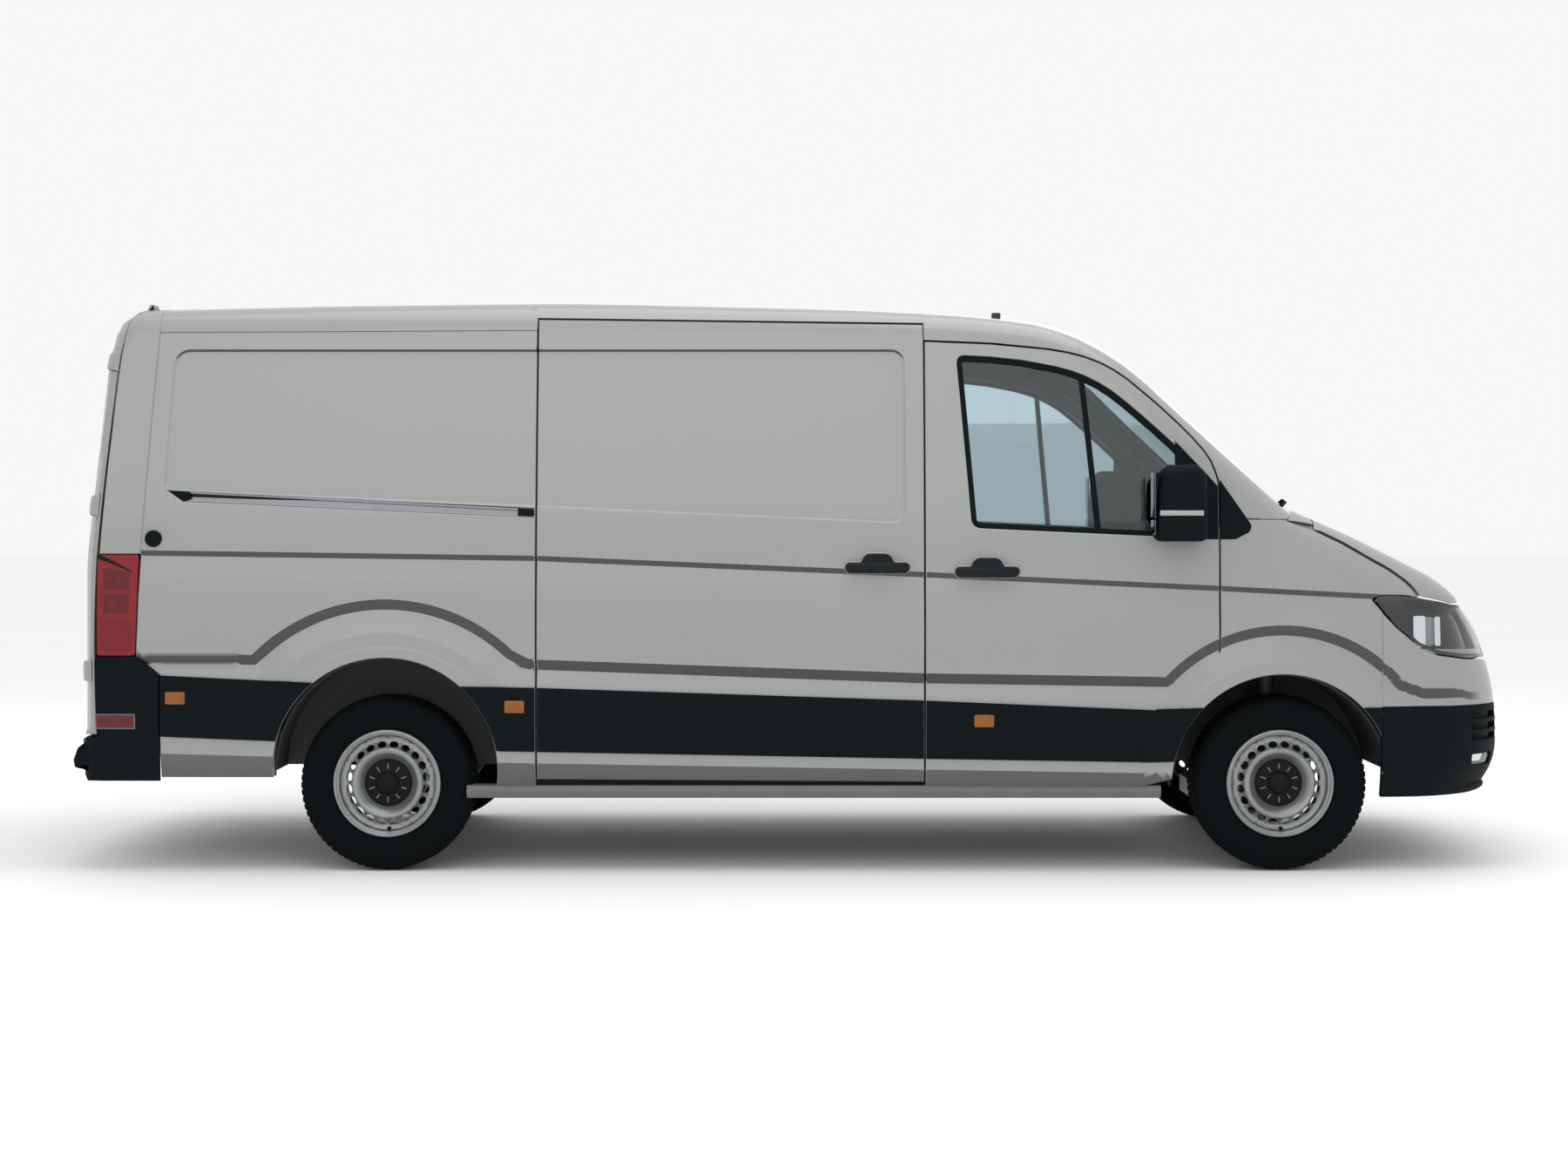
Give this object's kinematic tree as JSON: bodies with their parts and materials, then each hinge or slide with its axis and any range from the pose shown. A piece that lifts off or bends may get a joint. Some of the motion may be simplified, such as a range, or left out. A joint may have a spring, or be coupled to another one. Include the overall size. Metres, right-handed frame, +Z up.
{
  "type": "panel van",
  "caption": "Panel van with hollow cab and load space, hinged cab doors, twin rear doors, opening bonnet, steered front wheels and turning wheels.",
  "frame": {"origin": "on the ground, midway between front bumper and rear step, on the centre line", "axes": "+X forward, +Y to the van's left, +Z up"},
  "size_m": [5.9835, 2.426, 2.3589],
  "materials": {
    "body_paint": "satin",
    "black_plastic": "moulded",
    "glass": "clear",
    "lamp_clear": "clear",
    "lamp_red": "tinted",
    "tyre": "rubber",
    "rim_silver": "satin",
    "aluminium": "brushed",
    "interior_plastic": "grained",
    "seat_fabric": "woven",
    "chassis_steel": "waxed",
    "cast_metal": "cast"
  },
  "bodies": {
    "root": {"body_side_left": "body_paint", "body_side_right": "body_paint", "bulkhead": "interior_plastic", "cab_frame": "body_paint", "dashboard": "interior_plastic", "engine": "cast_metal", "exhaust": "chassis_steel", "floor_frame": "chassis_steel", "front_bumper": "body_paint", "front_suspension": "chassis_steel", "fuel_tank": "black_plastic", "grille": "black_plastic", "headlamps": "lamp_clear", "radiator": "cast_metal", "rear_axle": "chassis_steel", "rear_bumper": "black_plastic", "rear_frame": "body_paint", "roof": "body_paint", "roof_fittings": "black_plastic", "seats": "seat_fabric", "side_trim": "black_plastic", "sills": "body_paint", "slide_rail": "aluminium", "sliding_door": "body_paint", "steering_wheel": "interior_plastic", "tail_lamps": "lamp_red", "wheel_housings": "black_plastic", "windscreen": "glass", "wing_left": "body_paint", "wing_right": "body_paint", "wipers": "black_plastic"},
    "front_door_right": {"front_door_right": "body_paint", "door_glass_right": "glass", "door_mirror_right": "black_plastic", "door_trim_right": "black_plastic"},
    "front_door_left": {"front_door_left": "body_paint", "door_glass_left": "glass", "door_mirror_left": "black_plastic", "door_trim_left": "black_plastic"},
    "rear_door_right": {"rear_door_right": "body_paint"},
    "rear_door_left": {"rear_door_left": "body_paint"},
    "bonnet": {"bonnet": "body_paint"},
    "knuckle_right": {"knuckle_right": "chassis_steel"},
    "knuckle_left": {"knuckle_left": "chassis_steel"},
    "wheel_front_right": {"tyre_front_right": "tyre", "rim_front_right": "rim_silver"},
    "wheel_front_left": {"tyre_front_left": "tyre", "rim_front_left": "rim_silver"},
    "wheel_rear_right": {"tyre_rear_right": "tyre", "rim_rear_right": "rim_silver"},
    "wheel_rear_left": {"tyre_rear_left": "tyre", "rim_rear_left": "rim_silver"}
  },
  "joints": [
    {"name": "steer_right", "type": "hinge", "parent": "root", "child": "knuckle_right", "pos_m": [1.992, -0.76, 0.356], "axis": [0, 0, 1], "range_deg": [-35, 35]},
    {"name": "steer_left", "type": "hinge", "parent": "root", "child": "knuckle_left", "pos_m": [1.992, 0.76, 0.356], "axis": [0, 0, 1], "range_deg": [-35, 35]},
    {"name": "spin_front_right", "type": "hinge", "parent": "knuckle_right", "child": "wheel_front_right", "pos_m": [1.992, -0.85, 0.356], "axis": [0, 1, 0], "continuous": true},
    {"name": "spin_front_left", "type": "hinge", "parent": "knuckle_left", "child": "wheel_front_left", "pos_m": [1.992, 0.85, 0.356], "axis": [0, 1, 0], "continuous": true},
    {"name": "spin_rear_right", "type": "hinge", "parent": "root", "child": "wheel_rear_right", "pos_m": [-1.648, -0.85, 0.356], "axis": [0, 1, 0], "continuous": true},
    {"name": "spin_rear_left", "type": "hinge", "parent": "root", "child": "wheel_rear_left", "pos_m": [-1.648, 0.85, 0.356], "axis": [0, 1, 0], "continuous": true},
    {"name": "cab_door_right_hinge", "type": "hinge", "parent": "root", "child": "front_door_right", "pos_m": [1.803, -1.008, 1], "axis": [0, 0, 1], "range_deg": [0, 70]},
    {"name": "cab_door_left_hinge", "type": "hinge", "parent": "root", "child": "front_door_left", "pos_m": [1.803, 1.008, 1], "axis": [0, 0, -1], "range_deg": [0, 70]},
    {"name": "rear_door_right_hinge", "type": "hinge", "parent": "root", "child": "rear_door_right", "pos_m": [-2.885, -1.04, 1.27], "axis": [0.0523, 0, 0.9986], "range_deg": [0, 260]},
    {"name": "rear_door_left_hinge", "type": "hinge", "parent": "root", "child": "rear_door_left", "pos_m": [-2.885, 1.04, 1.27], "axis": [-0.0523, 0, -0.9986], "range_deg": [0, 260]},
    {"name": "bonnet_hinge", "type": "hinge", "parent": "root", "child": "bonnet", "pos_m": [2.142, 0, 1.447], "axis": [0, -1, 0], "range_deg": [0, 55]}
  ],
  "couplings": [
    {"joint": "steer_left", "follows": "steer_right", "ratio": 1}
  ]
}
